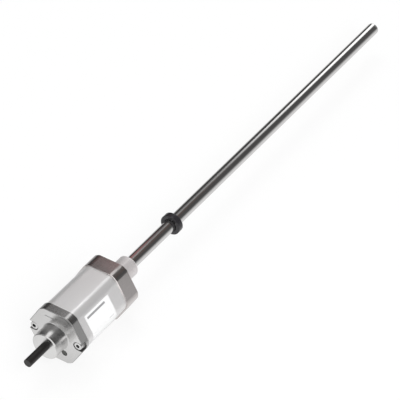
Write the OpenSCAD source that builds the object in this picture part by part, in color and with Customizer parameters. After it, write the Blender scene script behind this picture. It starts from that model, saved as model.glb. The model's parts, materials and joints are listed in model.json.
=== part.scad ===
// Rod-type magnetostrictive position sensor with its sliding position magnet.
// The origin is the centre of the flange's mounting face. +X runs along the rod to its tip, and +Z is up,
// square to a flat of the hexagonal head.

/* [Sensing rod] */
// Outside diameter of the rod tube
rod_d = 10.2; // [8:0.1:12]
// Wall of the rod tube
rod_wall = 1.6; // [1:0.1:1.8]
// From the mounting face to the tip of the rod
rod_reach = 392.5; // [300:0.5:900]
// Depth to which the tube is pressed into the flange
rod_seat = 8; // [6:0.5:10]
// Thickness of the welded tip plug outside the tube
plug_t = 3; // [2:0.5:5]
// Length of the tip plug's spigot inside the tube
plug_spigot = 4; // [2:0.5:6]
// Rounding of the tip's edge
tip_round = 0.8; // [0.2:0.1:1.5]

/* [Flange and neck] */
// Width across the flats of the flange
flange_af = 46; // [45:0.5:50]
// Thickness of the flange
flange_t = 14.5; // [13:0.5:18]
// Rounding of the flange's and cap's corners
corner_r = 9; // [6:0.5:10]
// Chamfer along the edges of the flange and the cap
edge_chamfer = 0.4; // [0.2:0.1:0.8]
// Thread diameter of the neck
thread_d = 18; // [17:0.5:20]
// Thread pitch of the neck
thread_pitch = 1.5; // [1:0.25:2]
// Length of the neck
neck_l = 23.5; // [18:0.5:30]
// Width of the undercut between neck and mounting face
undercut_w = 2.4; // [2.2:0.1:3]
// Depth of the recess in the mounting face that seats the O-ring
seat_recess = 0.3; // [0.2:0.1:0.6]
// Section of the O-ring in the undercut
mount_ring_w = 2.1; // [1.8:0.1:2.2]
// Depth of the cup behind the flange that holds the chassis, measured into the flange
cup_depth = 2.5; // [1.5:0.5:4]
// Length of the flange's spigot inside the housing
spigot_l = 6; // [5:0.5:8]
// Wall of the flange's spigot
spigot_wall = 4.4; // [3.5:0.1:5]
// Section of the spigot's O-ring
seal_w = 1.76; // [1.5:0.02:2]

/* [Housing] */
// Width across the flats of the housing
housing_af = 44; // [43.5:0.5:45]
// Length of the housing
housing_l = 49.5; // [49.5:0.5:80]
// Rounding of the housing's corners
housing_corner_r = 9; // [6:0.5:10]
// Bore of the housing
housing_bore_d = 34; // [33:0.2:34.4]
// Thickness of the gasket under the cap
gasket_t = 0.5; // [0.3:0.1:1]
// How far the gasket's edge stays inside the housing's edge
gasket_inset = 0.4; // [0.2:0.1:1]

/* [End cap] */
// Width across the flats of the cap
cap_af = 46; // [45:0.5:50]
// Thickness of the cap's plate
cap_t = 8; // [7:0.5:10]
// Diameter of the cable boss
boss_d = 23; // [20:0.5:24]
// Length of the cable boss
boss_l = 14; // [12:0.5:18]
// Bevel round the boss's front edge
boss_bevel = 0.7; // [0.2:0.1:1.2]
// Fillet where the boss meets the cap's plate
boss_fillet = 1.2; // [0.5:0.1:1.4]
// Distance between the two cap screws
screw_span = 40.4; // [40:0.1:41.2]
// Width of the slots that hold the screw heads
slot_w = 7.8; // [7.4:0.1:8.4]
// Depth of the slots
slot_depth = 5; // [4.5:0.5:6]
// Length of the cap's locating lip
lip_l = 2.5; // [2:0.5:3]
// Wall of the locating lip
lip_wall = 2.8; // [2:0.1:3]
// Length of the engraved line on the cap
mark_l = 19; // [10:1:24]
// Width of the engraved line
mark_w = 0.5; // [0.3:0.1:0.8]
// Depth of the engraved line
mark_depth = 0.3; // [0.1:0.1:0.6]
// Height of the engraved line above the axis
mark_z = 16.7; // [15:0.1:19]

/* [Cap screws] */
// Thread diameter of the cap screws
screw_d = 4; // [3.5:0.5:4]
// Depth to which the cap screws reach into the flange
screw_grip = 7; // [6:0.5:8]
// Head diameter of the cap screws
screw_head_d = 7; // [6:0.1:7.2]
// Width across the flats of the cap screws' socket
screw_key = 3; // [2.5:0.5:3]
// Thickness of the spring washers under the heads
spring_washer_t = 0.8; // [0.5:0.1:0.9]

/* [Cable] */
// Diameter of the cable
cable_d = 6.8; // [5:0.1:7]
// Length of the cable outside the boss
cable_out = 21.5; // [10:0.5:28]
// Number of cores in the cable
core_count = 6; // [4:1:6]
// Diameter of one insulated core
core_d = 1; // [0.8:0.1:1.1]
// Thickness of the boss's front wall
boss_wall = 2; // [1.5:0.5:3]
// Bore of the boss behind its front wall
gland_d = 15; // [12:0.5:16]
// Length of the cable grommet
grommet_l = 7.5; // [6:0.5:8]
// Thickness of the washer behind the grommet
gland_washer_t = 1; // [0.8:0.1:1.5]
// Length of the gland nut
gland_nut_l = 5; // [4:0.5:6]
// Length of the crimp ring on the cable
crimp_l = 3; // [2:0.5:4]

/* [Status light] */
// Angle of the status light round the axis, from +Y towards +Z
light_angle = 240; // [235:1:245]
// Distance of the status light from the axis
light_radius = 15.5; // [15.3:0.1:15.6]
// Diameter of the lens
lens_d = 5; // [4:0.1:5.4]
// Thickness of the lens
lens_t = 2.5; // [2:0.5:3.5]
// Diameter of the light behind the lens
led_d = 2.7; // [2:0.1:2.7]

/* [Label] */
// Length of the label along the housing
label_l = 30; // [20:1:36]
// From the housing's cap end to the label
label_start = 6.5; // [4:0.5:10]
// How far the label reaches above the middle of the upper face
label_up = 6.3; // [3:0.1:9]
// How far the label reaches below the middle of the lower face
label_down = 2; // [-5:0.5:8]
// Thickness of the label
label_t = 0.12; // [0.1:0.01:0.2]

/* [Magnet ring] */
// Outside diameter of the magnet ring
ring_d = 17.7; // [17:0.1:24]
// Width of the magnet ring along the rod
ring_w = 5.3; // [5:0.1:9]
// From the mounting face to the magnet ring, as it stands in the photograph
ring_home = 79.8; // [30:0.1:300]
// Radial running clearance of the ring on the rod
ring_clearance = 0.06; // [0.03:0.01:0.1]
// Wall between the rod and the ring's magnet
ring_inner_wall = 1; // [0.8:0.1:1.5]
// Radial thickness of the ring's magnet
ring_magnet_t = 1.7; // [1.2:0.1:1.8]
// Thickness of the ring's cover
ring_cover_t = 0.8; // [0.6:0.1:1]
// Chamfer at the mouth of the ring's bore
ring_chamfer = 0.6; // [0.3:0.1:0.9]

/* [Waveguide] */
// Outside diameter of the waveguide tube
guide_d = 1; // [0.8:0.1:1.2]
// Bore of the waveguide tube
guide_bore_d = 0.6; // [0.5:0.05:0.6]
// Diameter of the pulse conductor
conductor_d = 0.4; // [0.3:0.05:0.4]
// Outside diameter of the insulating sleeve
sleeve_d = 2.8; // [2.2:0.1:3]
// From the axis to the conductor's return leg
return_offset = 2.3; // [2.1:0.05:2.5]
// Number of centring spacers in the rod
spacer_count = 6; // [3:1:9]
// Length of one centring spacer
spacer_l = 4; // [3:0.5:8]
// Length of the damper at the tip
damper_l = 26; // [15:1:40]
// Free space between the damper and the tip plug
tip_gap = 6; // [5:1:12]

/* [Chassis] */
// Thickness of the chassis disc
chassis_disc_t = 3; // [2:0.5:4]
// Width of the chassis tray
tray_w = 21; // [20.6:0.2:21]
// Thickness of the chassis tray
tray_t = 2; // [1.5:0.1:2]
// Height of the tray's top below the axis
tray_drop = 4.5; // [4.5:0.1:4.8]
// Length of the coil
coil_l = 12; // [10:0.5:12]
// Outside diameter of the coil
coil_d = 8; // [6:0.5:8]
// Thickness of the bobbin's end flanges
bobbin_flange_t = 1; // [0.8:0.1:1.2]
// Diameter of the bobbin's hub
hub_d = 3.2; // [2.6:0.1:3.4]
// Wall of the coil shield
shield_t = 0.5; // [0.4:0.1:0.8]
// Length of the bias magnet
bias_l = 6; // [4:0.5:7]
// Width and height of the bias magnet
bias_w = 3; // [2:0.5:3]
// Length of the head damper
head_damper_l = 6; // [4:0.5:7]
// Diameter of the head damper
head_damper_d = 5; // [4:0.2:6]

/* [Boards] */
// Thickness of the boards
board_t = 1.6; // [1.2:0.1:1.6]
// Free length of the cores between the cable and their plug
core_run = 7.5; // [6.5:0.5:8.5]
// Width of the main board
main_w = 24; // [24:0.5:25]
// Height of the main board's underside above the axis
main_z = 7.5; // [7.3:0.1:7.8]
// How far the interface board starts behind the main board, seen from the flange
lower_front = 2; // [1:0.5:3]
// How far the interface board ends short of the main board, at the cap's end
lower_back = 1; // [1:0.5:3]
// Width of the interface board
lower_w = 20; // [18:0.5:20]
// Depth of the interface board's top below the axis
lower_z = 11.2; // [11:0.1:11.4]
// Diameter of the board screws
board_screw_d = 2; // [1.6:0.1:2]
// Length of the board screws under the head
board_screw_l = 6; // [5:0.5:6]
// Head diameter of the board screws
board_screw_head_d = 3.5; // [3:0.1:3.6]
// Head height of the board screws
board_screw_head_t = 1.3; // [1:0.1:1.4]
// Diameter of the posts that carry the boards
post_d = 3.8; // [3.4:0.1:4]

/* [Fits] */
// Radial clearance of pieces that are pushed together
fit = 0.05; // [0.02:0.01:0.1]

/* [Hidden] */

$fn = 96;
eps = 0.01;

// Stations along the axis
x_housing = -flange_t;
x_gasket = x_housing - housing_l;
x_cap = x_gasket - gasket_t;
x_cap_front = x_cap - cap_t;
x_boss_front = x_cap_front - boss_l;
x_cable_end = x_boss_front - cable_out;
x_cup = x_housing + cup_depth;
x_disc = x_cup - chassis_disc_t;

// Rod and what lies in it
rod_r = rod_d / 2;
rod_bore_r = rod_r - rod_wall;
x_rod_in = -rod_seat;
x_tube_end = rod_reach - plug_t;
x_damper = x_tube_end - plug_spigot - tip_gap - damper_l;
x_turn = x_damper + damper_l + tip_gap / 2;

// Flange
thread_r = thread_d / 2;
thread_depth = 0.61 * thread_pitch;
undercut_r = thread_r - 1.2;
housing_bore_r = housing_bore_d / 2;
spigot_r = housing_bore_r - fit;
cup_r = spigot_r - spigot_wall;
spigot_groove_r = housing_bore_r - seal_w - fit;

// Cap
screw_y = screw_span / 2;
screw_r = screw_d / 2;
screw_hole_r = screw_r + 0.15;
screw_head_t = screw_d;
x_slot_floor = x_cap_front + slot_depth;
x_head_seat = x_slot_floor - spring_washer_t;
x_screw_end = x_housing + screw_grip;
cable_r = cable_d / 2;
gland_r = gland_d / 2;
x_gland = x_boss_front + boss_wall;
x_washer = x_gland + grommet_l;
x_gland_nut = x_washer + gland_washer_t;
x_crimp = x_gland_nut + gland_nut_l;
x_sheath_in = x_crimp + crimp_l;
lip_r = housing_bore_r - fit;

// Magnet ring
ring_r = ring_d / 2;
ring_bore_r = rod_r + ring_clearance;
magnet_in_r = ring_bore_r + ring_inner_wall;
magnet_out_r = magnet_in_r + ring_magnet_t;
cover_lap = 0.3;

// Chassis, coil and boards
shield_l = coil_l + 2 * bobbin_flange_t;
shield_r = coil_d / 2 + fit + shield_t;
x_shield = x_disc - 1.5 - shield_l;
x_bias = x_shield - 2 - bias_l;
x_head_damper = x_bias - 1 - head_damper_l;
x_guide_in = x_head_damper - 1;
tray_z = -tray_drop - tray_t;
post_r = post_d / 2;
plug_d = 4;
x_socket = x_sheath_in + core_run + plug_d;
x_main = x_housing - spigot_l - 1;
main_l = x_main - x_socket + 1;
x_lower = x_main - lower_front;
lower_l = main_l - lower_front - lower_back;
main_pitch = main_l / 18;
post_inset = 2 * main_pitch;
main_post_y = tray_w / 2 - post_r;
lower_post_y = lower_w / 2 - 5.2;
pilot_r = board_screw_d / 2;
header_w = 2;
header_l = 10;
header_y = lower_w / 2 - header_w;
x_header = x_main - main_l * 0.65;
socket_d = 7;
socket_h = 5;
socket_w = 2 * (main_post_y - post_r) - 0.8;
core_pitch = 1.9;
core_ring_r = cable_r - 1.65;
light_y = light_radius * cos(light_angle);
light_z = light_radius * sin(light_angle);

// Hexagon with rounded corners, flats up and down, drawn across Y and Z once it is laid along X
module rounded_hex(af, r) {
    reach = (af / 2 - r) / cos(30);
    polygon([for (i = [0:5], s = [-30, 30])
        [reach * cos(60 * i) + r * cos(60 * i + s), reach * sin(60 * i) + r * sin(60 * i + s)]]);
    for (i = [0:5])
        rotate(60 * i) translate([reach, 0]) circle(r);
}

// Hexagonal plate along X with rounded corners: its flats are chamfered by planes, its corners by a turned cone
module hex_plate(x0, x1, af) {
    a = af / 2;
    c = edge_chamfer;
    tip = (a - corner_r) / cos(30) + corner_r;
    intersection() {
        bar(x0, x1) rounded_hex(af, corner_r);
        for_flats() linear_extrude(4 * a, center = true)
            polygon(concat(chamfer_line(x0, x1, a, c), [for (p = chamfer_line(x1, x0, a, c)) [p[0], -p[1]]]));
        turned() polygon(concat([[x0 - 1, 0]], chamfer_line(x0, x1, tip, c), [[x1 + 1, 0]]));
    }
}

// What lies inside all three pairs of flats
module for_flats() {
    intersection() {
        rotate([90, 0, 0]) children();
        rotate([150, 0, 0]) children();
        rotate([210, 0, 0]) children();
    }
}

// Outline of a chamfered edge at this distance from the axis, run out past both ends so that it cuts cleanly
function chamfer_line(x0, x1, a, c) =
    let (s = sign(x1 - x0))
    [[x0 - s, a - c - 1], [x0 + s * (c + 1), a + 1], [x1 - s * (c + 1), a + 1], [x1 + s, a - c - 1]];

// Turns a flat outline in Y and Z into a bar along X, from x0 to x1
module bar(x0, x1) {
    translate([x0, 0, 0]) rotate([90, 0, 90]) linear_extrude(x1 - x0) children();
}

// Round bar along X
module rod_bar(x0, x1, r) {
    translate([x0, 0, 0]) rotate([0, 90, 0]) cylinder(h = x1 - x0, r = r);
}

// Tube along X
module tube(x0, x1, r_out, r_in) {
    difference() {
        rod_bar(x0, x1, r_out);
        rod_bar(x0 - 1, x1 + 1, r_in);
    }
}

// Turns an outline of axial place and radius about the X axis
module turned() {
    rotate([0, 90, 0]) rotate_extrude() mirror([1, 0]) rotate(90) children();
}

// Torus round the X axis
module o_ring(x, r, section) {
    translate([x, 0, 0]) rotate([0, 90, 0]) rotate_extrude() translate([r, 0]) circle(d = section, $fn = 32);
}

// Box given by its low and high corners
module block(low, high) {
    translate(low) cube(high - low);
}

// Round wire between two points
module wire(a, b, d) {
    v = b - a;
    l = norm(v);
    translate(a) rotate([0, acos(v[2] / l), atan2(v[1], v[0])]) cylinder(h = l, d = d, $fn = 24);
}

// The two places of the cap screws
module at_cap_screws() {
    for (s = [-1, 1])
        translate([0, s * screw_y, 0]) children();
}

module flange_body() {
    neck_end = neck_l - thread_depth;
    color("#827d78") difference() {
        union() {
            hex_plate(x_housing, 0, flange_af);
            turned() polygon([[-1, 0], [-1, undercut_r], [undercut_w, undercut_r],
                [undercut_w, thread_r - thread_depth], [undercut_w + thread_depth, thread_r],
                [neck_end, thread_r], [neck_l, thread_r - thread_depth], [neck_l, 0]]);
            rod_bar(x_housing - spigot_l, x_housing + eps, spigot_r);
        }
        tube(-seat_recess, 1, undercut_r + mount_ring_w + fit, undercut_r);
        rod_bar(x_rod_in, neck_l + 1, rod_r);
        rod_bar(x_housing - spigot_l - 1, x_rod_in + eps, rod_bore_r);
        rod_bar(x_housing - spigot_l - 1, x_cup, cup_r);
        tube(x_housing - spigot_l / 2 - seal_w / 2 - 0.2, x_housing - spigot_l / 2 + seal_w / 2 + 0.2,
            spigot_r + 1, spigot_groove_r);
        at_cap_screws() rod_bar(x_housing - 1, x_screw_end + 1, screw_r + fit);
        for (s = [-1, 1])
            translate([0, 0, s * chassis_screw_z()])
                rod_bar(x_cup - 1, x_disc + board_screw_l + 2, pilot_r + fit);
    }
}

function chassis_screw_z() = (cup_r + shield_r) / 2;

module mount_o_ring() {
    color("#1c1c1e") o_ring(mount_ring_w / 2 - seat_recess, undercut_r + mount_ring_w / 2, mount_ring_w);
}

module housing_sleeve() {
    color("#c6c4c4") difference() {
        bar(x_gasket, x_housing) rounded_hex(housing_af, housing_corner_r);
        rod_bar(x_gasket - 1, x_housing + 1, housing_bore_r);
        at_cap_screws() rod_bar(x_gasket - 1, x_housing + 1, screw_hole_r);
    }
}

module flange_seal() {
    color("#1c1c1e") o_ring(x_housing - spigot_l / 2, housing_bore_r - seal_w / 2, seal_w);
}

module cap_gasket() {
    color("#2b2b2d") difference() {
        bar(x_cap, x_gasket) rounded_hex(housing_af - 2 * gasket_inset, housing_corner_r);
        rod_bar(x_cap - 1, x_gasket + 1, housing_bore_r);
        at_cap_screws() rod_bar(x_cap - 1, x_gasket + 1, screw_hole_r);
    }
}

// Slot for one screw head, open to the cap's corner
module screw_slot(side) {
    translate([0, side * screw_y, 0]) rod_bar(x_cap_front - 1, x_slot_floor, slot_w / 2);
    block([x_cap_front - 1, min(side * screw_y, side * cap_af), -slot_w / 2],
        [x_slot_floor, max(side * screw_y, side * cap_af), slot_w / 2]);
}

module end_cap() {
    color("#cccac8") difference() {
        union() {
            hex_plate(x_cap_front, x_cap, cap_af);
            turned() polygon(concat([[x_cap_front + eps, 0], [x_cap_front + eps, boss_d / 2 + boss_fillet]],
                [for (a = [0:15:90]) [x_cap_front - boss_fillet * (1 - cos(a)),
                    boss_d / 2 + boss_fillet * (1 - sin(a))]],
                [[x_boss_front + boss_bevel, boss_d / 2], [x_boss_front, boss_d / 2 - boss_bevel],
                [x_boss_front, 0]]));
            tube(x_cap - eps, x_cap + gasket_t + lip_l, lip_r, lip_r - lip_wall);
        }
        rod_bar(x_boss_front - 1, x_gland + 1, cable_r + fit);
        rod_bar(x_gland, x_cap + 1, gland_r);
        for (s = [-1, 1])
            screw_slot(s);
        at_cap_screws() rod_bar(x_cap_front, x_cap + 1, screw_hole_r);
        translate([0, light_y, light_z]) {
            rod_bar(x_cap_front - 1, x_cap_front + lens_t, lens_d / 2 + fit);
            rod_bar(x_cap_front + lens_t - 1, x_cap + gasket_t + lip_l + 1, led_d / 2 + fit);
        }
        light_relief();
        block([x_cap_front - 1, -mark_l / 2, mark_z - mark_w / 2],
            [x_cap_front + mark_depth, mark_l / 2, mark_z + mark_w / 2]);
    }
}

// Gap in the locating lip that clears the status light and its legs
module light_relief() {
    rotate([light_angle, 0, 0])
        block([x_cap + eps, light_radius - lip_wall, -led_d / 2 - fit],
            [x_cap + gasket_t + lip_l + 1, housing_bore_r + 1, led_d / 2 + fit]);
}

module cap_screws() {
    x_head = x_head_seat - screw_head_t;
    edge = 0.4;
    color("#b4b2b0") at_cap_screws() difference() {
        turned() polygon([[x_head, 0], [x_head, screw_head_d / 2 - edge], [x_head + edge, screw_head_d / 2],
            [x_head_seat, screw_head_d / 2], [x_head_seat, screw_r],
            [x_screw_end - edge, screw_r], [x_screw_end, screw_r - edge], [x_screw_end, 0]]);
        translate([x_head - 1, 0, 0]) rotate([0, 90, 0])
            cylinder(h = 1 + screw_head_t / 2, d = screw_key / cos(30), $fn = 6);
    }
}

// Split washers, each with its gap towards -Y
module spring_washers() {
    color("#8e8c8a") at_cap_screws() difference() {
        tube(x_head_seat, x_slot_floor, screw_head_d / 2 - 0.1, screw_hole_r);
        block([x_head_seat - 1, -screw_head_d, -0.2], [x_slot_floor + 1, 0, 0.2]);
    }
}

module status_lens() {
    color("#3c4038") translate([0, light_y, light_z])
        rod_bar(x_cap_front + 0.2, x_cap_front + lens_t, lens_d / 2);
}

module status_led() {
    leg_d = 0.5;
    leg_pitch = 1.2;
    leg_z = -lower_z - board_t - leg_d / 2;
    color("#e8e6d8") translate([0, light_y, light_z]) rod_bar(x_cap_front + lens_t, x_cap - 0.2, led_d / 2);
    color("#c8c8c8") for (s = [-1, 1])
        wire([x_cap - 0.3, light_y + s * leg_pitch / 2, leg_z],
            [x_lower - lower_l + 3, light_y + s * leg_pitch / 2, leg_z], leg_d);
}

// Foil label on the camera-side upper face, folded round the corner onto the lower face
module type_label() {
    side = housing_af / 2 / cos(30);
    reach = 2 * housing_af;
    color("#f4f4f4") bar(x_gasket + label_start, x_gasket + label_start + label_l) intersection() {
        difference() {
            rounded_hex(housing_af + 2 * label_t, housing_corner_r + label_t);
            rounded_hex(housing_af, housing_corner_r);
        }
        polygon([[0, 0], label_edge(150, label_up, reach), [-reach, 0], label_edge(210, label_down, reach)]);
    }
}

// Point far out along the ray that meets a face, at this angle, this far from the face's middle
function label_edge(face, off, reach) =
    let (a = face + (face < 180 ? -1 : 1) * atan(off / (housing_af / 2)))
    [reach * cos(a), reach * sin(a)];

module cable_sheath() {
    color("#1d1b1b") rod_bar(x_cable_end, x_sheath_in, cable_r);
}

module cable_grommet() {
    color("#242424") tube(x_gland, x_washer, gland_r - fit, cable_r);
}

module gland_washer() {
    color("#b9b7b3") tube(x_washer, x_gland_nut, gland_r - 2 * fit, cable_r + 0.3);
}

module gland_nut() {
    key = 2 * (cable_r + 1);
    color("#a8a49c") difference() {
        rod_bar(x_gland_nut, x_crimp, gland_r - fit);
        rod_bar(x_gland_nut - 1, x_crimp + 1, cable_r + 0.5);
        translate([x_crimp - 2, 0, 0]) rotate([0, 90, 0]) cylinder(h = 3, d = key / cos(30), $fn = 6);
    }
}

module crimp_ring() {
    color("#c2bfb8") tube(x_crimp, x_sheath_in, cable_r + 0.9, cable_r);
}

// The cores fan out from the cut sheath to the plug under the main board
module cable_core(i) {
    colours = ["#7a4a28", "#2e7d3a", "#d8b72c", "#8f9094", "#d79aa8", "#ededed"];
    a = 360 / core_count * (i + 0.5);
    start = [x_sheath_in, core_ring_r * cos(a), core_ring_r * sin(a)];
    end = [x_socket - plug_d, core_pitch * (core_slot(i) - (core_count - 1) / 2), main_z - socket_h / 2];
    reach = (end - start) * 0.2;
    color(colours[i]) intersection() {
        wire(start - reach, end + reach, core_d);
        block([start[0], -gland_d, -gland_d], [end[0], gland_d, gland_d]);
    }
}

// Cores keep their order from left to right, so that they never cross
function core_slot(i) =
    let (y = core_ring_r * cos(360 / core_count * (i + 0.5)) + 0.01 * i)
    len([for (j = [0:core_count - 1])
        if (core_ring_r * cos(360 / core_count * (j + 0.5)) + 0.01 * j < y) j]);

module core_plug() {
    w = core_count * core_pitch / 2 + 0.4;
    color("#e9e4d6") block([x_socket - plug_d, -w, main_z - socket_h + 0.6], [x_socket, w, main_z - 0.6]);
}

module core_socket() {
    color("#d9d2c0")
        block([x_socket, -socket_w / 2, main_z - socket_h], [x_socket + socket_d, socket_w / 2, main_z]);
}

module sensing_rod() {
    color("#b7b5b5") tube(x_rod_in, x_tube_end, rod_r, rod_bore_r);
}

module tip_plug() {
    color("#b7b5b5") turned() polygon(concat(
        [[x_tube_end - plug_spigot, 0], [x_tube_end - plug_spigot, rod_bore_r - fit],
            [x_tube_end, rod_bore_r - fit], [x_tube_end, rod_r]],
        [for (a = [90:-15:0]) [rod_reach - tip_round * (1 - cos(a)), rod_r - tip_round * (1 - sin(a))]],
        [[rod_reach, 0]]));
}

module waveguide() {
    color("#9a8f7a") tube(x_guide_in, x_damper + damper_l, guide_d / 2, guide_bore_d / 2);
}

// The conductor runs out through the waveguide and back beside its sleeve
module pulse_conductor() {
    out = [x_turn, 0, 0];
    back = [x_turn, 0, -return_offset];
    color("#b8703c") {
        wire([x_guide_in - 1.5, 0, 0], out, conductor_d);
        translate(out) sphere(d = conductor_d, $fn = 24);
        wire(out, back, conductor_d);
        translate(back) sphere(d = conductor_d, $fn = 24);
        wire([x_disc - 0.8, 0, -return_offset], back, conductor_d);
    }
}

module insulating_sleeve() {
    color("#efece4") tube(x_disc, x_damper, sleeve_d / 2, guide_d / 2 + fit);
}

module tip_damper() {
    color("#6b3f2f") difference() {
        tube(x_damper, x_damper + damper_l, rod_bore_r - fit, guide_d / 2);
        return_hole(x_damper - 1, x_damper + damper_l + 1);
    }
}

// Hole for the conductor's return leg
module return_hole(x0, x1) {
    translate([0, 0, -return_offset]) rod_bar(x0, x1, conductor_d / 2 + fit);
}

module rod_spacer(i) {
    x = x_rod_in + (x_damper - x_rod_in) * i / (spacer_count + 1);
    color("#dcd8cc") difference() {
        tube(x, x + spacer_l, rod_bore_r - fit, sleeve_d / 2);
        return_hole(x - 1, x + spacer_l + 1);
    }
}

// Pairs of board posts, at each end of a board
module at_posts(x_board, length, y) {
    for (x = [x_board - post_inset, x_board - length + post_inset], s = [-1, 1])
        translate([x, s * y, 0]) children();
}

module chassis() {
    x_tray_end = min(x_main - main_l, x_lower - lower_l) + post_inset - post_r - 0.5;
    saddle_y = shield_r + 1.2;
    color("#2f3136") difference() {
        union() {
            rod_bar(x_disc, x_cup, cup_r - fit);
            block([x_tray_end, -tray_w / 2, tray_z], [x_disc + eps, tray_w / 2, -tray_drop]);
            block([x_shield - 0.5, -saddle_y, -tray_drop - eps], [x_shield + shield_l + 0.5, saddle_y, 0]);
            block([x_guide_in, -bias_w - 1.5, -tray_drop - eps], [x_bias + bias_l, bias_w + 1.5, 0]);
            at_posts(x_main, main_l, main_post_y)
                translate([0, 0, -tray_drop - eps]) cylinder(h = main_z + tray_drop + eps, r = post_r);
            at_posts(x_lower, lower_l, lower_post_y)
                translate([0, 0, -lower_z]) cylinder(h = lower_z + tray_z + eps, r = post_r);
        }
        rod_bar(x_disc - 1, x_cup + 1, sleeve_d / 2 + fit);
        return_hole(x_disc - 1, x_cup + 1);
        rod_bar(x_shield, x_shield + shield_l, shield_r + fit);
        rod_bar(x_shield - 1, x_shield + shield_l + 2, sleeve_d / 2 + 0.3);
        block([x_bias - fit, guide_d / 2 + 0.5, -bias_w / 2 - fit],
            [x_bias + bias_l + fit, guide_d / 2 + 0.5 + bias_w + fit, 1]);
        rod_bar(x_head_damper - fit, x_head_damper + head_damper_l + fit, head_damper_d / 2 + fit);
        rod_bar(x_guide_in - 1, x_shield + 1, guide_d / 2 + 0.3);
        block([x_header - fit, header_y - fit, tray_z - 1],
            [x_header + header_l + fit, tray_w, -tray_drop + 1]);
        at_posts(x_main, main_l, main_post_y)
            translate([0, 0, main_z + board_t - board_screw_l - 0.3])
                cylinder(h = board_screw_l + 1, r = pilot_r + fit);
        at_posts(x_lower, lower_l, lower_post_y)
            translate([0, 0, -lower_z - 1]) cylinder(h = board_screw_l - board_t + 1.3, r = pilot_r + fit);
        for (s = [-1, 1])
            translate([0, 0, s * chassis_screw_z()]) rod_bar(x_disc - 1, x_cup + 1, pilot_r + fit);
    }
}

// Pan head screw along +Z, with the underside of its head at the origin
module pan_screw(length) {
    difference() {
        union() {
            translate([0, 0, -board_screw_head_t]) cylinder(h = board_screw_head_t, d = board_screw_head_d, $fn = 48);
            translate([0, 0, -eps]) cylinder(h = length + eps, d = board_screw_d, $fn = 48);
        }
        for (a = [0, 90])
            rotate(a) translate([-board_screw_head_d / 3, -0.2, -board_screw_head_t - 1])
                cube([board_screw_head_d / 1.5, 0.4, 1.5]);
    }
}

module chassis_screws() {
    color("#b0aeaa") for (s = [-1, 1])
        translate([x_disc, 0, s * chassis_screw_z()])
            rotate([0, 90, 0]) pan_screw(board_screw_l + chassis_disc_t - 2);
}

module board_screws() {
    color("#b0aeaa") {
        at_posts(x_main, main_l, main_post_y)
            translate([0, 0, main_z + board_t]) rotate([180, 0, 0]) pan_screw(board_screw_l);
        at_posts(x_lower, lower_l, lower_post_y)
            translate([0, 0, -lower_z - board_t]) pan_screw(board_screw_l);
    }
}

module coil_bobbin() {
    x0 = x_shield;
    x1 = x_shield + shield_l;
    color("#d8d4c6") difference() {
        union() {
            rod_bar(x0, x1, hub_d / 2);
            rod_bar(x0, x0 + bobbin_flange_t, coil_d / 2);
            rod_bar(x1 - bobbin_flange_t, x1, coil_d / 2);
        }
        rod_bar(x0 - 1, x1 + 1, guide_d / 2 + fit);
    }
}

module pickup_coil() {
    color("#a85a2a") tube(x_shield + bobbin_flange_t, x_shield + bobbin_flange_t + coil_l, coil_d / 2, hub_d / 2);
}

module coil_shield() {
    color("#9c9c98") tube(x_shield, x_shield + shield_l, shield_r, coil_d / 2 + fit);
}

module bias_magnet() {
    y0 = guide_d / 2 + 0.5;
    color("#4a4a4c") block([x_bias, y0, -bias_w / 2], [x_bias + bias_l, y0 + bias_w, bias_w / 2]);
}

module head_damper() {
    color("#6b3f2f") tube(x_head_damper, x_head_damper + head_damper_l, head_damper_d / 2, guide_d / 2);
}

module main_board() {
    color("#1f6b43") difference() {
        block([x_main - main_l, -main_w / 2, main_z], [x_main, main_w / 2, main_z + board_t]);
        at_posts(x_main, main_l, main_post_y)
            translate([0, 0, main_z - 1]) cylinder(h = board_t + 2, r = pilot_r + fit);
    }
}

module interface_board() {
    color("#1f6b43") difference() {
        block([x_lower - lower_l, -lower_w / 2, -lower_z - board_t], [x_lower, lower_w / 2, -lower_z]);
        at_posts(x_lower, lower_l, lower_post_y)
            translate([0, 0, -lower_z - board_t - 1]) cylinder(h = board_t + 2, r = pilot_r + fit);
    }
}

module link_header() {
    color("#202022")
        block([x_header, header_y, -lower_z], [x_header + header_l, header_y + header_w, main_z]);
}

module processor() {
    w = 5 * main_pitch;
    x = x_main - 9 * main_pitch;
    color("#26262a") block([x - w / 2, -w / 2, main_z + board_t], [x + w / 2, w / 2, main_z + board_t + 1.4]);
}

module pulse_driver() {
    x = x_main - 4.5 * main_pitch;
    w = 2.5 * main_pitch;
    color("#26262a") block([x - main_pitch, -w, main_z + board_t], [x + main_pitch, w, main_z + board_t + 1.8]);
}

module storage_capacitors() {
    x = x_main - 13 * main_pitch;
    color("#3a5a8a") for (s = [-1, 1])
        translate([x, s * 2 * main_pitch, main_z + board_t]) cylinder(h = 5, r = 1.5 * main_pitch);
}

module ring_body() {
    x0 = ring_home;
    x1 = ring_home + ring_w;
    edge = 0.3;
    color("#333036") turned() difference() {
        polygon([[x0, ring_bore_r + ring_chamfer], [x0 + ring_chamfer, ring_bore_r],
            [x1 - ring_chamfer / 2, ring_bore_r], [x1, ring_bore_r + ring_chamfer / 2],
            [x1, ring_r - edge], [x1 - edge, ring_r], [x0 + edge, ring_r], [x0, ring_r - edge]]);
        polygon([[x0 + ring_inner_wall, magnet_in_r - fit], [x1 + 1, magnet_in_r - fit],
            [x1 + 1, magnet_out_r + fit], [x0 + ring_inner_wall, magnet_out_r + fit]]);
        polygon([[x1 - ring_cover_t, magnet_in_r - cover_lap - fit], [x1 + 1, magnet_in_r - cover_lap - fit],
            [x1 + 1, magnet_out_r + cover_lap + fit], [x1 - ring_cover_t, magnet_out_r + cover_lap + fit]]);
    }
}

module ring_magnet() {
    color("#55555a")
        tube(ring_home + ring_inner_wall, ring_home + ring_w - ring_cover_t, magnet_out_r, magnet_in_r);
}

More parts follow.
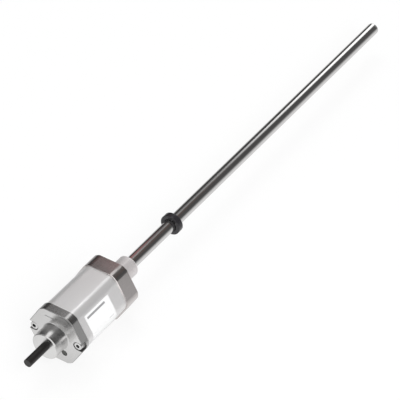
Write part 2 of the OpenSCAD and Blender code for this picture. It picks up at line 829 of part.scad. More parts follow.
module ring_cover() {
    color("#333036") tube(ring_home + ring_w - ring_cover_t, ring_home + ring_w,
        magnet_out_r + cover_lap, magnet_in_r - cover_lap);
}

flange_body();
mount_o_ring();
housing_sleeve();
flange_seal();
cap_gasket();
end_cap();
cap_screws();
spring_washers();
status_lens();
status_led();
type_label();
cable_sheath();
cable_grommet();
gland_washer();
gland_nut();
crimp_ring();
core_plug();
core_socket();
for (i = [1:core_count])
    cable_core(i - 1);
sensing_rod();
tip_plug();
waveguide();
pulse_conductor();
insulating_sleeve();
tip_damper();
for (i = [1:spacer_count])
    rod_spacer(i);
chassis();
chassis_screws();
coil_bobbin();
pickup_coil();
coil_shield();
bias_magnet();
head_damper();
main_board();
interface_board();
board_screws();
link_header();
processor();
pulse_driver();
storage_capacitors();
ring_body();
ring_magnet();
ring_cover();
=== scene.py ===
# %% [markdown]
# # A rod-type position sensor
# The object measures where a ring magnet stands on a long steel rod. It has a hexagonal steel flange with
# a threaded neck, a hexagonal aluminium housing with the electronics, and a machined end cap where the
# cable comes out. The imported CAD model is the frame: every piece below takes its place from it, and the
# moving ring rides on its own body.

# %% Load the frame
import json
import math

import bmesh
import bpy
from mathutils import Matrix, Vector


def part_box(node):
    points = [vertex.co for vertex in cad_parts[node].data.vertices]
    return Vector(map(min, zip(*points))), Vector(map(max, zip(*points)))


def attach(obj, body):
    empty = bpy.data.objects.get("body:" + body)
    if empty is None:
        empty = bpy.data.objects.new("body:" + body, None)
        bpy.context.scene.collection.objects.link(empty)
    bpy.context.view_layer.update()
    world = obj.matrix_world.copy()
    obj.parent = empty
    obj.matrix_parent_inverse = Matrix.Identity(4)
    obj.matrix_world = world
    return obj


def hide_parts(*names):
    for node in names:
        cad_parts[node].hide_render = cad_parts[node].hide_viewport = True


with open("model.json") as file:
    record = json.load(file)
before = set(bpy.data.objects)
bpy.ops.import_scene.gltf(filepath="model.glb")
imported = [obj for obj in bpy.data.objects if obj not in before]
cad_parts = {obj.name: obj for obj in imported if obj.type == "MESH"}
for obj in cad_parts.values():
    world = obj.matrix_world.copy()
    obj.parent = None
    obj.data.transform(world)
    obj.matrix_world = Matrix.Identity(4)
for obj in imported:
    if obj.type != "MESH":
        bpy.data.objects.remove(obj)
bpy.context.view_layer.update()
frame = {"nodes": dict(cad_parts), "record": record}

MM = 0.001
scene = bpy.context.scene
nodes = frame["nodes"]

# %% [markdown]
# ## Camera
# The photograph looks down on the cable end from about 41 degrees, from far away with a long lens, so the
# rod hardly tapers. The camera could be aimed with a track constraint, but its three axes are known from
# lining up the corners of the hexagon and the two ends of the rod, so its matrix is written out.

# %% Camera
camera_data = bpy.data.cameras.new("camera")
camera_data.sensor_width = 36.0
camera_data.lens = 232.03
camera_data.clip_start, camera_data.clip_end = 0.05, 50.0
camera = bpy.data.objects.new("camera", camera_data)
scene.collection.objects.link(camera)
right = Vector((0.55459657, -0.83207691, 0.00840602))
up = Vector((0.53843105, 0.36654099, 0.75877514))
ahead = Vector((0.63444042, 0.41628803, -0.65129842))
camera.matrix_world = Matrix.Translation((-1.183339, -0.856864, 1.336607)) @ Matrix(
    (right, up, -ahead)).transposed().to_4x4()
scene.camera = camera
print("camera looks down by", round(math.degrees(math.asin(-ahead.z)), 1), "degrees")

# %% [markdown]
# ## Node helpers
# Materials and geometry trees are both built from nodes. One helper adds a node and fills its sockets: a
# socket given as a value is linked, anything else is set as a number, so that a tree reads almost like a
# sentence.


# %% Node helpers
def add(tree, kind, inputs=None, **settings):
    made = tree.nodes.new(kind)
    for key, value in settings.items():
        setattr(made, key, value)
    for key, value in (inputs or {}).items():
        if isinstance(value, bpy.types.NodeSocket):
            tree.links.new(value, made.inputs[key])
        else:
            made.inputs[key].default_value = value
    return made


def put(tree, kind, inputs=None, **settings):
    """Adds a node and gives its first output."""
    return add(tree, kind, inputs, **settings).outputs[0]


def maths(tree, operation, *terms):
    return put(tree, "ShaderNodeMath", dict(enumerate(terms)), operation=operation)


def short_for(operation):
    def run(tree, *terms):
        return maths(tree, operation, *terms)
    return run


plus, minus, times, over = map(short_for, ("ADD", "SUBTRACT", "MULTIPLY", "DIVIDE"))
larger, smaller, absolute, pingpong = map(short_for, ("MAXIMUM", "MINIMUM", "ABSOLUTE", "PINGPONG"))


def hypotenuse(tree, a, b):
    return maths(tree, "SQRT", plus(tree, times(tree, a, a), times(tree, b, b)))


def spread(tree, value, low, high, new_low=0.0, new_high=1.0, smooth=False):
    """Maps low to new_low and high to new_high, and stays level outside them."""
    ends = {"Value": value, "From Min": low, "From Max": high, "To Min": new_low, "To Max": new_high}
    style = "SMOOTHSTEP" if smooth else "LINEAR"
    return put(tree, "ShaderNodeMapRange", ends, interpolation_type=style)


def mix(tree, share, first, second):
    """Colour between two others, by a share from 0 to 1."""
    return add(tree, "ShaderNodeMix", {0: share, 6: first, 7: second}, data_type="RGBA").outputs[2]


def vector(tree, x=0.0, y=0.0, z=0.0):
    return put(tree, "ShaderNodeCombineXYZ", {0: x, 1: y, 2: z})


def object_point(tree):
    return add(tree, "ShaderNodeTexCoord").outputs["Object"]


def split_place(tree):
    """The point's three coordinates in metres, each on its own output."""
    return add(tree, "ShaderNodeSeparateXYZ", {0: object_point(tree)}).outputs


def grey(level):
    return (level, level, level, 1)


# %% [markdown]
# ## Stage
# The floor is a pale sweep. The camera, and metal that mirrors it, see it as white paper, and a share of
# its colour stays plain diffuse so that the soft shadow of the sensor still falls on it. It is
# see-through from below, so the underside can be looked at too.

# %% Floor
FLOOR_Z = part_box("flange_body")[0].z - 0.1 * MM
HALF_FLOOR = 4.0
corners = [(x * HALF_FLOOR, y * HALF_FLOOR, FLOOR_Z) for x, y in ((-1, -1), (1, -1), (1, 1), (-1, 1))]
floor_mesh = bpy.data.meshes.new("floor")
floor_mesh.from_pydata(corners, [], [(0, 1, 2, 3)])
floor = bpy.data.objects.new("floor", floor_mesh)
scene.collection.objects.link(floor)
paper = bpy.data.materials.new("paper_sweep")
paper.use_nodes = True
tree = paper.node_tree
tree.nodes.remove(tree.nodes["Principled BSDF"])
path = add(tree, "ShaderNodeLightPath").outputs
seen = larger(tree, path["Is Camera Ray"], larger(tree, path["Is Glossy Ray"], path["Is Transmission Ray"]))
# Mirrored in metal, the floor carries painted shade: brightest at the cable end, less bright along the sensor
# under a painted contact shadow, and dark far aside
HALF_WIDTH = 0.06
place = split_place(tree)
aside = over(tree, place["Y"], HALF_WIDTH)
near = over(tree, 1.0, plus(tree, 1.0, times(tree, aside, aside)))
# Painted contact shadow: mirrors see the floor's glow up to a fifth dimmer from the cap's front on along the
# sensor
contact_shadow = spread(tree, place["X"], -0.105, -0.075, 0.0, 0.22)
dim = times(tree, larger(tree, spread(tree, near, 0.0, 1.0, 0.76, 0.0), contact_shadow), path["Is Glossy Ray"])
glow = put(tree, "ShaderNodeEmission", {"Strength": times(tree, minus(tree, 1.0, dim), 0.82)})
matt = put(tree, "ShaderNodeBsdfDiffuse", {"Color": grey(0.85)})
faint = put(tree, "ShaderNodeBsdfDiffuse", {"Color": grey(0.17)})
white = put(tree, "ShaderNodeAddShader", {0: glow, 1: faint})
shown = put(tree, "ShaderNodeMixShader", {0: seen, 1: matt, 2: white})
under = times(tree, add(tree, "ShaderNodeNewGeometry").outputs["Backfacing"], path["Is Camera Ray"])
clear = put(tree, "ShaderNodeBsdfTransparent")
both = put(tree, "ShaderNodeMixShader", {0: under, 1: shown, 2: clear})
tree.links.new(both, tree.nodes["Material Output"].inputs["Surface"])
floor.data.materials.append(paper)
print("floor at", round(FLOOR_Z / MM, 2), "mm")

# %% [markdown]
# ## Room and lamps
# Polished steel is only as interesting as what it mirrors. A studio does this with a dark ceiling, a pale
# floor and a few bright panels. Here the world is white for the camera, a dark ceiling with a lighter
# horizon for mirrors, and an even grey for matt surfaces. Two large soft lamps light the matt surfaces.

# %% World
world = bpy.data.worlds.new("studio")
world.use_nodes = True
scene.world = world
tree = world.node_tree
backdrop = tree.nodes["Background"]
toward = add(tree, "ShaderNodeTexCoord").outputs["Generated"]
to_x, to_y, to_z = add(tree, "ShaderNodeSeparateXYZ", {0: toward}).outputs


def banded(value, low_end, high_end, bands):
    """Grey that follows a value from 0 to 1, with levels at both ends and at places between."""
    made = add(tree, "ShaderNodeValToRGB", {0: value})
    ends = made.color_ramp.elements
    ends[0].color, ends[1].color = grey(low_end), grey(high_end)
    for spot, level in bands:
        ends.new(spot).color = grey(level)
    return made.outputs["Color"]


ceiling = banded(spread(tree, to_z, -0.2, 1.0), 0.75, 0.20,
                 ((0.15, 0.34), (0.22, 0.17), (0.38, 0.09), (0.72, 0.075), (0.84, 0.13)))
sides = banded(spread(tree, to_y, -1.0, 1.0), 0.33, 0.12,
               ((0.42, 0.33), (0.52, 0.9), (0.70, 0.8), (0.80, 0.2)))
lighter = times(tree, sides, 3.0)
# Windows are ranges of direction that glow in mirrors.
behind = times(tree, spread(tree, to_x, -0.73, -0.76, 0.0, 1.9, smooth=True),
               spread(tree, to_x, -0.80, -0.86, 1.0, 0.1, smooth=True))
beside = times(tree, spread(tree, to_y, -0.60, -0.72, smooth=True),
               spread(tree, to_x, 0.0, -0.25, smooth=True))
beside = times(tree, spread(tree, to_z, 0.22, 0.12, 0.0, 1.8, smooth=True), beside)
corner = times(tree, spread(tree, to_x, -0.2, -0.4, 0.0, 0.3, smooth=True),
               spread(tree, to_y, 0.42, 0.52, smooth=True))
before = times(tree, spread(tree, to_x, 0.70, 0.80, smooth=True), spread(tree, to_y, -0.1, 0.4, 0.35, 0.55))
windows = larger(tree, larger(tree, behind, beside), larger(tree, corner, before))
mirrored = larger(tree, times(tree, ceiling, lighter), windows)
path = add(tree, "ShaderNodeLightPath").outputs
matt_level = put(tree, "ShaderNodeMix", {0: path["Is Diffuse Ray"], 2: mirrored, 3: 0.62})
level = put(tree, "ShaderNodeMix", {0: path["Is Camera Ray"], 2: matt_level, 3: 1.0})
tree.links.new(level, backdrop.inputs["Strength"])
backdrop.inputs["Color"].default_value = grey(1)


# %% Lamps
def lamp(name, place, aim, size, power):
    data = bpy.data.lights.new(name, "AREA")
    data.shape, data.size, data.energy = "SQUARE", size, power
    made = bpy.data.objects.new(name, data)
    made.location = place
    made.rotation_mode = "QUATERNION"
    made.rotation_quaternion = (Vector(aim) - Vector(place)).to_track_quat("-Z", "Y")
    made.visible_glossy = made.visible_camera = False
    scene.collection.objects.link(made)
    return made


key = lamp("key_lamp", (-0.9, -1.5, 1.6), (0.1, 0, 0), 1.2, 27.0)
fill = lamp("fill_lamp", (0.9, 0.9, 1.8), (0.1, 0, 0), 1.2, 11.0)
print("lamps:", key.data.energy, "W and", fill.data.energy, "W")


# %% Mirror panels
def panel(name, corners, ends, colour):
    """Glowing card that only mirrors see. Its light rises from one x to another."""
    mesh = bpy.data.meshes.new(name)
    mesh.from_pydata(corners, [], [(0, 3, 2, 1)])
    made = bpy.data.objects.new(name, mesh)
    scene.collection.objects.link(made)
    finish = bpy.data.materials.new(name)
    finish.use_nodes = True
    tree = finish.node_tree
    tree.nodes.remove(tree.nodes["Principled BSDF"])
    share = spread(tree, split_place(tree)["X"], ends[0], ends[1], smooth=True)
    glow = put(tree, "ShaderNodeEmission", {"Color": (*colour, 1), "Strength": 1.0})
    clear = put(tree, "ShaderNodeBsdfTransparent")
    mixed = put(tree, "ShaderNodeMixShader", {0: share, 1: clear, 2: glow})
    tree.links.new(mixed, tree.nodes["Material Output"].inputs["Surface"])
    mesh.materials.append(finish)
    made.visible_camera = made.visible_diffuse = made.visible_shadow = made.visible_transmission = False


for name, corners, ends, colour in (
        ("long_panel", ((0.58, 0.0, 0.6), (1.6, 0.0, 0.6), (1.6, 0.86, 0.6), (0.58, 0.2, 0.6)),
         (0.62, 0.92), (1.5, 1.5, 1.5)),
        ("short_panel", ((0.2, -0.03, 0.6), (0.5, -0.03, 0.6), (0.5, 0.26, 0.6), (0.2, 0.26, 0.6)),
         (0.45, 0.385), (1.4, 1.4, 1.4)),
        ("near_card", ((-0.012, -0.006, 0.073), (0.033, -0.006, 0.073), (0.033, 0.016, 0.073),
                       (-0.012, 0.016, 0.073)), (0.034, 0.033), (0.9, 0.9, 0.9)),
        ("warm_panel", ((0.22, 0.11, 0.3), (0.28, 0.11, 0.3), (0.515, 0.55, 0.3), (0.455, 0.55, 0.3)),
         (0.60, 0.59), (0.36, 0.18, 0.18)),
        ("brown_card", ((0.5, -0.6, 0.62), (0.74, -0.6, 0.62), (0.74, 0.05, 0.62), (0.5, 0.05, 0.62)),
         (0.74, 0.58), (0.11, 0.085, 0.078)),
        ("side_card", ((0.15, -0.5, -0.02), (0.43, -0.5, -0.02), (0.43, -0.5, 0.1), (0.15, -0.5, 0.1)),
         (0.43, 0.36), (0.5, 0.5, 0.5))):
    panel(name, corners, ends, colour)

# %% [markdown]
# ## Finishes
# Nearly everything outside is worked metal. A finish is a metal colour, a roughness that may wander a
# little, and marks from the tool: long streaks where a face was milled or extruded, rings where a piece
# was turned in a lathe. The marks could be an image, but a noise texture squeezed along one direction
# gives them at any size. For turned pieces the texture is fed with the distance from the rod's axis, so
# its streaks close into rings.


# %% Finish helpers
def principled(name, **sockets):
    made = bpy.data.materials.new(name)
    made.use_nodes = True
    for key, value in sockets.items():
        made.node_tree.nodes["Principled BSDF"].inputs[key.replace("_", " ")].default_value = value
    return made, made.node_tree


def drive(tree, **sources):
    """Links each source to the shader's socket of that name."""
    for key, source in sources.items():
        tree.links.new(source, tree.nodes["Principled BSDF"].inputs[key.replace("_", " ")])


def source_of(tree, socket):
    return tree.nodes["Principled BSDF"].inputs[socket].links[0].from_socket


def turned_point(tree):
    """Place along the axis and distance from it, as a texture vector."""
    split = split_place(tree)
    return vector(tree, split["X"], hypotenuse(tree, split["Y"], split["Z"]))


def noise(tree, point, stretch, detail=3.0, roughness=0.55):
    """Noise with this many cells per millimetre along each direction."""
    scaled = put(tree, "ShaderNodeMapping", {"Vector": point, "Scale": [v / MM for v in stretch]})
    settings = {"Vector": scaled, "Scale": 1.0, "Detail": detail, "Roughness": roughness}
    return add(tree, "ShaderNodeTexNoise", settings).outputs["Fac"]


def fine_bump(tree, height, strength, depth):
    """Tilts the surface by a height. The depth is in millimetres."""
    bump = put(tree, "ShaderNodeBump", {"Strength": strength, "Distance": depth * MM, "Height": height})
    drive(tree, Normal=bump)


def worked(name, colour, metallic, rough, marks, turned=False, wander=0.05, tint=0.06, lift=0.15,
           deep=0.004, **sockets):
    """Metal or plastic with tool marks. Lift and deep are the strength and depth of the marks."""
    made, tree = principled(name, Metallic=metallic, Roughness=rough, **sockets)
    streak = noise(tree, turned_point(tree) if turned else object_point(tree), marks)
    cloud = noise(tree, object_point(tree), (0.09, 0.09, 0.09), 2.0)
    darker, lighter = ((*(min(1.0, c * (1 + change)) for c in colour), 1) for change in (-tint, tint))
    blend = plus(tree, times(tree, streak, 0.6), times(tree, cloud, 0.4))
    drive(tree, Base_Color=mix(tree, spread(tree, blend, 0.3, 0.7), darker, lighter))
    if wander:
        drive(tree, Roughness=spread(tree, blend, 0.3, 0.7, rough - wander, rough + wander))
    if lift:
        fine_bump(tree, streak, lift, deep)
    return made


# %% Metal finishes
flange_steel = worked("flange_steel", (0.70, 0.66, 0.65), 1.0, 0.19, (0.25, 9.0, 9.0), wander=0.03)
cap_metal = worked("cap_metal", (0.73, 0.725, 0.72), 1.0, 0.25, (6.0, 6.0, 0.0), turned=True,
                   wander=0.012, tint=0.03, lift=0.12)
housing_satin = worked("housing_aluminium", (0.81, 0.80, 0.80), 0.55, 0.285, (0.03, 2.5, 2.5), wander=0.0,
                       tint=0.02, lift=0.0)
rod_steel = worked("rod_steel", (0.75, 0.74, 0.735), 1.0, 0.13, (11.0, 0.0, 0.0), turned=True, wander=0.02,
                   tint=0.03, lift=0.1, deep=0.002)
screw_steel = worked("screw_steel", (0.76, 0.755, 0.75), 1.0, 0.22, (6.0, 6.0, 6.0))
print("metal finishes:", *(m.name for m in (flange_steel, cap_metal, housing_satin, rod_steel, screw_steel)))

# %% Cut thread on the flange's neck
CUT_FROM, CUT_FULL = 0.8, 2.2
tree = flange_steel.node_tree
cut = spread(tree, split_place(tree)["X"], CUT_FROM * MM, CUT_FULL * MM)
drive(tree, Base_Color=mix(tree, cut, source_of(tree, "Base Color"), (0.82, 0.79, 0.79, 1)),
      Roughness=plus(tree, source_of(tree, "Roughness"), times(tree, cut, 0.17)),
      Metallic=spread(tree, cut, 0.0, 1.0, 1.0, 0.55))

# %% Plastic and rubber finishes
ring_plastic = worked("ring_plastic", (0.024, 0.0225, 0.026), 0.0, 0.2, (1.2, 1.2, 1.2),
                      wander=0.04, tint=0.2, lift=0.08, deep=0.008)
cable_black = worked("cable_black", (0.014, 0.0127, 0.0122), 0.0, 0.42, (1.5, 4.0, 4.0),
                     wander=0.08, tint=0.25, lift=0.3, deep=0.03)
seal_rubber = worked("seal_rubber", (0.022, 0.022, 0.023), 0.0, 0.55, (3.0, 3.0, 3.0),
                     tint=0.25, lift=0.3, deep=0.02)

# %% [markdown]
# ## Pieces from CAD surfaces
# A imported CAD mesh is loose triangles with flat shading, which shows as stripes in polished metal. Its
# copy is merged into one surface, shaded smooth, and its real edges are kept sharp by their angle. The
# copy then stands in for the node.


# %% Surface helpers
def shade(bm, sharp):
    for face in bm.faces:
        face.smooth = True
    for edge in bm.edges:
        edge.smooth = not edge.is_boundary and edge.calc_face_angle(0.0) < math.radians(sharp)


def merged(node):
    bm = bmesh.new()
    bm.from_mesh(nodes[node].data)
    bmesh.ops.remove_doubles(bm, verts=bm.verts, dist=0.002 * MM)
    return bm


def mesh_of(bm, name):
    mesh = bpy.data.meshes.new(name)
    bm.to_mesh(mesh)
    bm.free()
    return mesh


def settle(bm, name, finish, slot, body="sensor", stands_for=()):
    """Turns a bmesh into a piece that rides on a body."""
    made = bpy.data.objects.new(name, mesh_of(bm, name))
    scene.collection.objects.link(made)
    return hand_over(made, finish, body, stands_for)


def hand_over(made, finish, body="sensor", stands_for=()):
    if finish is not None:
        made.data.materials.clear()
        made.data.materials.append(finish)
    if stands_for:
        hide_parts(*stands_for)
    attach(made, body)
    print(made.name, "has", len(made.data.polygons), "faces")
    return made


def skin(node, finish, slot, body="sensor", sharp=28.0):
    bm = merged(node)
    shade(bm, sharp)
    return settle(bm, node + "_skin", finish, slot, body, (node,))


# %% [markdown]
# ## Geometry Nodes helpers
# A tree gets named inputs for its sizes. It is run once on a plain object, and what comes out is kept as
# an ordinary mesh, because the exported model holds meshes and not trees.


# %% Tree helpers
def start_tree(name, sizes):
    tree = bpy.data.node_groups.new(name, "GeometryNodeTree")
    tree.interface.new_socket("Geometry", in_out="INPUT", socket_type="NodeSocketGeometry")
    for label, value in sizes.items():
        kind = "NodeSocketInt" if isinstance(value, int) else "NodeSocketFloat"
        tree.interface.new_socket(label, in_out="INPUT", socket_type=kind).default_value = value
    tree.interface.new_socket("Geometry", in_out="OUTPUT", socket_type="NodeSocketGeometry")
    return tree, tree.nodes.new("NodeGroupInput").outputs, tree.nodes.new("NodeGroupOutput")


def joined(tree, *parts):
    whole = add(tree, "GeometryNodeJoinGeometry")
    for part in parts:
        tree.links.new(part, whole.inputs[0])
    return whole.outputs[0]


def close_tree(tree, end, geometry, finish):
    whole = put(tree, "GeometryNodeRealizeInstances", {0: geometry})
    done = put(tree, "GeometryNodeSetMaterial", {0: whole, "Material": finish})
    tree.links.new(done, end.inputs[0])


def grow(name, tree, sizes, mesh=None):
    """Runs a tree on a new object and keeps the result as a plain mesh."""
    host = bpy.data.objects.new(name, mesh or bpy.data.meshes.new(name))
    modifier = host.modifiers.new("tree", "NODES")
    modifier.node_group = tree
    for socket in tree.interface.items_tree:
        if socket.in_out == "INPUT" and socket.name in sizes:
            modifier[socket.identifier] = sizes[socket.name]
    scene.collection.objects.link(host)
    dressed = host.evaluated_get(bpy.context.evaluated_depsgraph_get())
    plain = bpy.data.meshes.new_from_object(dressed)
    host.modifiers.clear()
    host.data = plain
    return host


# %% [markdown]
# ## Threaded neck
# The neck screws the sensor into a cylinder, so it carries a real M18 fine thread: a ridge that climbs by
# the pitch at each turn. It could be a bump texture, but the thread shows on the neck's outline, so it is
# a surface. A grid is bent round the axis, and its radius follows a ridge profile whose phase grows along
# the neck and falls round it. At both ends the thread fades into the plain chamfers of the CAD neck,
# where the grid is welded on.

# %% Thread tree
PITCH, NECK_R = 1.5, 9.0
ROWS_PER_TURN = 12
THREAD_SIZES = {"Pitch": PITCH * MM, "Crest": NECK_R * MM, "Depth": 0.85 * MM, "Start": 0.0, "End": 1.0,
                "Turn": 0.0, "Columns": 64, "Rows": 160}


def thread_tree(finish):
    tree, given, end = start_tree("thread", THREAD_SIZES)
    columns = plus(tree, given["Columns"], 1.0)
    rows = plus(tree, given["Rows"], 1.0)
    grid = put(tree, "GeometryNodeMeshGrid", {
        "Size X": 1.0, "Size Y": 1.0, "Vertices X": columns, "Vertices Y": rows})
    flat = add(tree, "ShaderNodeSeparateXYZ", {0: put(tree, "GeometryNodeInputPosition")}).outputs
    around = plus(tree, flat["X"], 0.5)
    upward = plus(tree, flat["Y"], 0.5)
    length = minus(tree, given["End"], given["Start"])
    along = plus(tree, given["Start"], times(tree, upward, length))
    phase = minus(tree, over(tree, along, given["Pitch"]), around)
    ridge = times(tree, pingpong(tree, phase, 0.5), 2.0)
    cut = spread(tree, ridge, 0.12, 0.9, 1.0, 0.0)
    edge = times(tree, smaller(tree, upward, minus(tree, 1.0, upward)), length)
    fade = spread(tree, over(tree, edge, given["Pitch"]), 0.0, 0.45, smooth=True)
    sunk = times(tree, times(tree, cut, fade), given["Depth"])
    radius = minus(tree, given["Crest"], sunk)
    angle = plus(tree, given["Turn"], times(tree, around, math.tau))
    bent = vector(tree, along, times(tree, radius, maths(tree, "COSINE", angle)),
                  times(tree, radius, maths(tree, "SINE", angle)))
    placed = put(tree, "GeometryNodeSetPosition", {0: grid, "Position": bent})
    close_tree(tree, end, placed, finish)
    return tree


# %% Weld the thread to the flange
bm = merged("flange_body")
bm.faces.ensure_lookup_table()


def on_neck(vert):
    return vert.co.x > 2 * MM and abs(math.hypot(vert.co.y, vert.co.z) - NECK_R * MM) < 0.01 * MM


plain = [f for f in bm.faces if all(on_neck(v) for v in f.verts)]
rims = sorted({round(v.co.x / MM, 3) for f in plain for v in f.verts})
first = [v for f in plain for v in f.verts if abs(v.co.x / MM - rims[0]) < 0.01]
angles = sorted({round(math.atan2(v.co.z, v.co.y) % math.tau, 4) for v in first})
bmesh.ops.delete(bm, geom=plain, context="FACES_ONLY")
columns = len(angles)
rows = round((rims[-1] - rims[0]) / PITCH * ROWS_PER_TURN)
thread = grow("thread_strip", thread_tree(flange_steel), {
    "Start": rims[0] * MM, "End": rims[-1] * MM, "Turn": angles[0], "Columns": columns, "Rows": rows})
bm.from_mesh(thread.data)
bpy.data.objects.remove(thread)
bmesh.ops.remove_doubles(bm, verts=bm.verts, dist=0.02 * MM)
bmesh.ops.delete(bm, geom=[v for v in bm.verts if not v.link_faces], context="VERTS")
bmesh.ops.recalc_face_normals(bm, faces=bm.faces)
shade(bm, 34.0)
print("thread of", columns, "columns and", rows, "rows; open edges:", sum(e.is_boundary for e in bm.edges))
settle(bm, "flange_body_skin", flange_steel, "flange_steel", stands_for=("flange_body",))

# %% [markdown]
# ## Housing, end cap and rod
# The housing is an extruded aluminium profile with a satin anodised skin: its fine lines run along its
# length. The cap was turned and then milled, and its front is smooth enough to mirror the cable boss. The
# rod is ground between centres, which leaves rings too fine to see but enough to soften its reflections a
# little.

# %% Housing, cap and rod
skin("housing_sleeve", housing_satin, "housing_aluminium")
skin("end_cap", cap_metal, "cap_metal")
skin("sensing_rod", rod_steel, "rod_steel")
skin("tip_plug", rod_steel, "rod_steel")
skin("mount_o_ring", seal_rubber, "seal_rubber", sharp=60)
skin("flange_seal", seal_rubber, "seal_rubber", sharp=60)
skin("cap_gasket", seal_rubber, "seal_rubber")
skin("spring_washers", screw_steel, "screw_steel")


# %% [markdown]
# ## Turned pieces
# The cable, the lens and the magnet ring are round. Each is a profile of places along the axis and radii,
# spun about the axis. Rounded corners are part of the profile, because a tiny radius is what catches the
# light on a real edge.


# %% Spinning helper
def spin(profile, steps=72, centre=(0.0, 0.0), closed=False):
    """Closed surface from a profile of (x, radius) in millimetres. A radius of zero makes a pole."""
    bm = bmesh.new()
    rings = []
    for x, r in profile:
        angles = [math.tau * k / steps for k in range(steps)] if r else [0.0]
        rings.append([bm.verts.new((x * MM, (centre[0] + r * math.cos(a)) * MM,
                                    (centre[1] + r * math.sin(a)) * MM)) for a in angles])
    for a, b in zip(rings, rings[1:] + rings[:1] if closed else rings[1:]):
        for k in range(steps):
            n = (k + 1) % steps
            corners = [a[k % len(a)], a[n % len(a)], b[n % len(b)], b[k % len(b)]]
            bm.faces.new(list(dict.fromkeys(corners)))
    bmesh.ops.recalc_face_normals(bm, faces=bm.faces)
    return bm


def rounded(x, r, size, turn, parts=4):
    """Points of a rounded corner at (x, r). Turn holds the signs from the corner towards its centre."""
    cx, cr = x + turn[0] * size, r + turn[1] * size
    angles = (math.pi / 2 * k / parts for k in range(parts + 1))
    return [(cx - turn[0] * size * math.cos(a), cr - turn[1] * size * math.sin(a)) for a in angles]


# %% Magnet ring
RING_BACK, RING_FRONT = (round(v.x / MM, 3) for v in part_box("ring_body"))
RING_R = round(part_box("ring_body")[1].y / MM, 2)
BORE_R, POCKET_IN, POCKET_OUT = 5.16, 6.12, 7.9
COVER_IN, COVER_OUT, COVER_T = 5.81, 8.21, 0.8
profile = rounded(RING_BACK, BORE_R + 0.62, 0.12, (1, 1), 2)[::-1] + rounded(RING_BACK, RING_R, 0.45, (1, -1))
profile += rounded(RING_FRONT, RING_R, 0.3, (-1, -1))[::-1]
profile += [(RING_FRONT, COVER_OUT), (RING_FRONT - COVER_T, COVER_OUT), (RING_FRONT - COVER_T, POCKET_OUT),
            (RING_BACK + 1.0, POCKET_OUT), (RING_BACK + 1.0, POCKET_IN), (RING_FRONT - COVER_T, POCKET_IN),
            (RING_FRONT - COVER_T, COVER_IN), (RING_FRONT, COVER_IN), (RING_FRONT, BORE_R + 0.3),
            (RING_FRONT - 0.3, BORE_R), (RING_BACK + 0.6, BORE_R)]
bm = spin(profile, 96, closed=True)
shade(bm, 30)
settle(bm, "ring_body_skin", ring_plastic, "ring_plastic", "magnet", ("ring_body",))
skin("ring_cover", ring_plastic, "ring_plastic", "magnet")

# %% [markdown]
# ## Cable and status light
# The cable leaves the boss straight and is cut off plainly, as in the photograph: a black sheath whose
# cut edge is slightly rounded, with the filling a touch below it. The status light is a smoked lens, a
# shallow dome that sits just below the face of the cap.

# %% Cable
x_cut, x_inner = (round(v.x / MM, 3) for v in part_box("cable_sheath"))
SHEATH_R, FILLING_R = 3.4, 2.35
profile = [(x_cut + 0.12, 0), (x_cut + 0.12, FILLING_R), (x_cut + 0.02, FILLING_R + 0.1),
           (x_cut, FILLING_R + 0.25)] + rounded(x_cut, SHEATH_R, 0.22, (1, -1))
profile += [(x_cut + 8, SHEATH_R), (x_cut + 20, SHEATH_R), (x_inner, SHEATH_R), (x_inner, 0)]
bm = spin(profile, 64)
shade(bm, 35)
settle(bm, "cable_sheath_skin", cable_black, "cable_black", stands_for=("cable_sheath",))

# %% Status light
lens_low, lens_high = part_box("status_lens")
lens_y, lens_z = ((a + b) / 2 / MM for a, b in zip(lens_low.yz, lens_high.yz))
lens_r = (lens_high.y - lens_low.y) / 2 / MM
lens_face, lens_back = lens_low.x / MM, lens_high.x / MM
slopes = [math.pi / 2 * k / 6 for k in range(7)]
profile = [(lens_face + 0.3 * (1 - math.cos(a)), lens_r * math.sin(a)) for a in slopes]
bm = spin(profile + [(lens_back, lens_r), (lens_back, 0)], 40, (lens_y, lens_z))
shade(bm, 40)
lens_smoke, tree = principled("lens_smoke", Metallic=0.0, Roughness=0.12, IOR=1.45, Coat_Weight=0.15)
speck = noise(tree, object_point(tree), (2.0, 2.0, 2.0))
drive(tree, Base_Color=mix(tree, speck, (0.045, 0.048, 0.042, 1), (0.09, 0.095, 0.085, 1)))
settle(bm, "status_lens_skin", lens_smoke, "lens_smoke", stands_for=("status_lens",))

# %% [markdown]
# ## Cap screws
# Two long socket screws hold cap, housing and flange together. A socket screw is known by the fine ridges
# round its head, which grip the fingers. Head, shank and hexagonal socket are loops of points joined by
# faces. The tree sets one small ridge many times round a circle, then the finished screw at its two places.

# %% Screw body
HEAD_R, HEAD_T, SHANK_R, KEY = 3.5, 4.0, 2.0, 3.0
screw_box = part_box("cap_screws")
HEAD_X = screw_box[0].x / MM
SHANK_END = screw_box[1].x / MM - HEAD_X
SCREW_Y = screw_box[1].y / MM - HEAD_R


